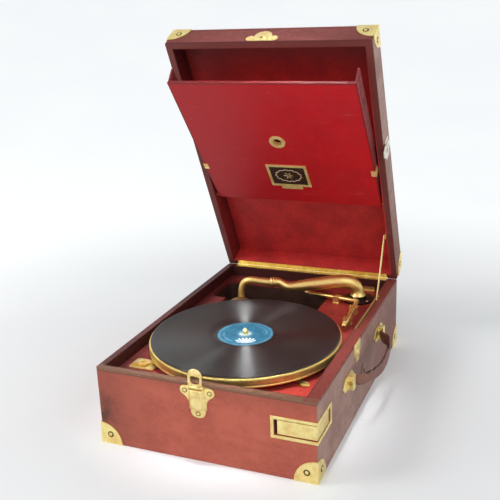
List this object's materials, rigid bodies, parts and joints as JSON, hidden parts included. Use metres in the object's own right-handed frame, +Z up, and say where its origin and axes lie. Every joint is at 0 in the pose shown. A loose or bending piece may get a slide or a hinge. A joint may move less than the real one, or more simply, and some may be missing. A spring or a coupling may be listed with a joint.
{
  "type": "wind up phonograph",
  "caption": "Portable wind-up gramophone in a red leathercloth case: lid propped open with a record tray, turntable and record, gooseneck tonearm, stowed crank, carrying handle and needle box.",
  "frame": {"origin": "on the underside of the case, at the middle of its base board", "axes": "+Z up, -Y towards the front latch, +Y towards the lid hinge, +X towards the carrying handle"},
  "size_m": [0.3146, 0.4523, 0.4936],
  "materials": {
    "leathercloth": "faded red leathercloth",
    "lining": "dark red cloth lining",
    "crimson_board": "crimson lacquered board",
    "deck": "red covered motor board",
    "gilt_brass": "gilt brass, worn and pitted",
    "old_brass": "aged brass",
    "nickel": "worn nickel plate",
    "black_paint": "black lacquer",
    "steel": "machined steel",
    "iron": "cast frame",
    "felt": "turntable felt",
    "shellac": "grooved shellac",
    "label": "printed paper, blue",
    "strap": "worn brown leather",
    "grip": "black stained wood",
    "mica": "pale mica disc",
    "dark_print": "dark enamel plaque"
  },
  "bodies": {
    "case": {"front_wall": "leathercloth", "back_wall": "leathercloth", "left_wall": "leathercloth", "right_wall": "leathercloth", "case_base": "leathercloth", "case_corners": "gilt_brass", "motor_board": "deck", "horn_bowl": "black_paint", "horn_throat": "black_paint", "hinge_leaf_case": "old_brass", "stay_rail": "old_brass", "front_latch_plate": "gilt_brass", "side_fittings": "gilt_brass", "handle_brackets": "gilt_brass", "needle_bin_frame": "gilt_brass", "tonearm_base": "black_paint", "deck_clips": "old_brass", "brake_plate": "old_brass", "motor_bed": "iron", "motor_frame": "iron"},
    "lid": {"lid_walls": "leathercloth", "lid_top": "leathercloth", "lid_corners": "gilt_brass", "hinge_leaf_lid": "old_brass", "lid_fittings": "gilt_brass", "side_latch_plate": "nickel", "tray_guides": "old_brass"},
    "stay": {"stay_bar": "gilt_brass"},
    "record_tray": {"tray_panel": "crimson_board", "tray_pocket": "lining", "tray_fittings": "gilt_brass", "picture_frame": "gilt_brass", "picture_plate": "dark_print"},
    "side_latch": {"side_latch_lever": "nickel"},
    "hasp": {"latch_hasp": "gilt_brass"},
    "needle_bin": {"needle_bin_cover": "gilt_brass", "needle_bin_cup": "old_brass"},
    "handle": {"handle_strap": "strap"},
    "turntable": {"spindle_shaft": "steel", "platter": "gilt_brass", "platter_rim": "gilt_brass", "platter_felt": "felt", "record": "shellac", "record_label": "label"},
    "mid_wheel": {"mid_wheel": "old_brass"},
    "barrel": {"spring_barrel": "old_brass", "mainspring": "steel"},
    "governor": {"governor_shaft": "steel", "governor_weights": "old_brass"},
    "winding_arbor": {"winding_wheel": "steel"},
    "winding_shaft": {"winding_shaft": "steel"},
    "tonearm": {"tonearm_tube": "gilt_brass"},
    "gooseneck": {"gooseneck": "gilt_brass"},
    "soundbox": {"soundbox": "gilt_brass", "diaphragm": "mica", "needle": "steel"},
    "brake_lever": {"brake_lever": "old_brass"},
    "speed_lever": {"speed_lever": "old_brass"},
    "crank": {"crank_rod": "old_brass"},
    "crank_grip": {"crank_grip": "grip"}
  },
  "joints": [
    {"name": "lid_hinge", "type": "hinge", "parent": "case", "child": "lid", "pos_m": [0, 0.2065, 0.10465], "axis": [1, 0, 0], "range_deg": [0, 64.5]},
    {"name": "stay_swing", "type": "hinge", "parent": "lid", "child": "stay", "pos_m": [0.131, 0.16464, 0.18661], "axis": [1, 0, 0], "range_deg": [-126.8, 0]},
    {"name": "tray_tilt", "type": "hinge", "parent": "lid", "child": "record_tray", "pos_m": [0, 0.15192, 0.23871], "axis": [1, 0, 0], "range_deg": [-12.1, 0]},
    {"name": "side_latch_turn", "type": "hinge", "parent": "lid", "child": "side_latch", "pos_m": [0.143, 0.116, 0.33237], "axis": [1, 0, 0], "range_deg": [-90, 0]},
    {"name": "hasp_turn", "type": "hinge", "parent": "case", "child": "hasp", "pos_m": [-0.0039, -0.2111, 0.1012], "axis": [1, 0, 0], "range_deg": [0, 120]},
    {"name": "needle_bin_swing", "type": "hinge", "parent": "case", "child": "needle_bin", "pos_m": [0.138, -0.1638, 0.065], "axis": [0, 0, 1], "range_deg": [0, 55]},
    {"name": "handle_lift", "type": "hinge", "parent": "case", "child": "handle", "pos_m": [0.1477, 0, 0.0685], "axis": [0, 1, 0], "range_deg": [-45, 0]},
    {"name": "turntable_spin", "type": "hinge", "parent": "case", "child": "turntable", "pos_m": [0, -0.0671, 0.07], "axis": [0, 0, 1], "continuous": true},
    {"name": "mid_wheel_spin", "type": "hinge", "parent": "case", "child": "mid_wheel", "pos_m": [0.03339, -0.05004, 0.055], "axis": [0, 0, 1], "continuous": true},
    {"name": "barrel_spin", "type": "hinge", "parent": "case", "child": "barrel", "pos_m": [0.05, -0.005, 0.065], "axis": [0, 0, 1], "continuous": true},
    {"name": "governor_spin", "type": "hinge", "parent": "case", "child": "governor", "pos_m": [-0.0288, -0.0671, 0.06], "axis": [0, 0, 1], "continuous": true},
    {"name": "winding_shaft_spin", "type": "hinge", "parent": "case", "child": "winding_shaft", "pos_m": [0.1, -0.005, 0.046], "axis": [1, 0, 0], "continuous": true},
    {"name": "winding_arbor_spin", "type": "hinge", "parent": "case", "child": "winding_arbor", "pos_m": [0.05, -0.005, 0.05], "axis": [0, 0, 1], "continuous": true},
    {"name": "tonearm_swing", "type": "hinge", "parent": "case", "child": "tonearm", "pos_m": [0.096, 0.147, 0.105], "axis": [0, 0, -1], "range_deg": [-23.5, 0]},
    {"name": "gooseneck_turn", "type": "hinge", "parent": "tonearm", "child": "gooseneck", "pos_m": [-0.025, 0.1035, 0.119], "axis": [-0.941, -0.3383, 0], "range_deg": [-180, 0]},
    {"name": "soundbox_turn", "type": "hinge", "parent": "gooseneck", "child": "soundbox", "pos_m": [-0.06164, 0.06057, 0.0805], "axis": [0.3383, -0.941, 0], "range_deg": [-87.1, 0]},
    {"name": "brake_turn", "type": "hinge", "parent": "case", "child": "brake_lever", "pos_m": [-0.106, -0.154, 0.092], "axis": [0, 0, 1], "range_deg": [0, 16]},
    {"name": "speed_turn", "type": "hinge", "parent": "case", "child": "speed_lever", "pos_m": [0.094, -0.134, 0.088], "axis": [0, 0, 1], "range_deg": [-12, 12]},
    {"name": "crank_unclip", "type": "slide", "parent": "case", "child": "crank", "axis": [0, 0, 1], "range_m": [0, 0.006]},
    {"name": "crank_grip_spin", "type": "hinge", "parent": "crank", "child": "crank_grip", "pos_m": [0.01604, 0.15398, 0.096], "axis": [-0.048, 0.9988, 0], "continuous": true}
  ],
  "couplings": [
    {"joint": "stay_swing", "follows": "lid_hinge", "ratio": -1.9653},
    {"joint": "tray_tilt", "follows": "lid_hinge", "ratio": -0.18605},
    {"joint": "mid_wheel_spin", "follows": "turntable_spin", "ratio": -0.25},
    {"joint": "barrel_spin", "follows": "turntable_spin", "ratio": 0.05},
    {"joint": "governor_spin", "follows": "turntable_spin", "ratio": -5},
    {"joint": "winding_shaft_spin", "follows": "winding_arbor_spin", "ratio": -2},
    {"joint": "gooseneck_turn", "follows": "tonearm_swing", "ratio": 7.6596},
    {"joint": "soundbox_turn", "follows": "tonearm_swing", "ratio": 3.7021}
  ]
}
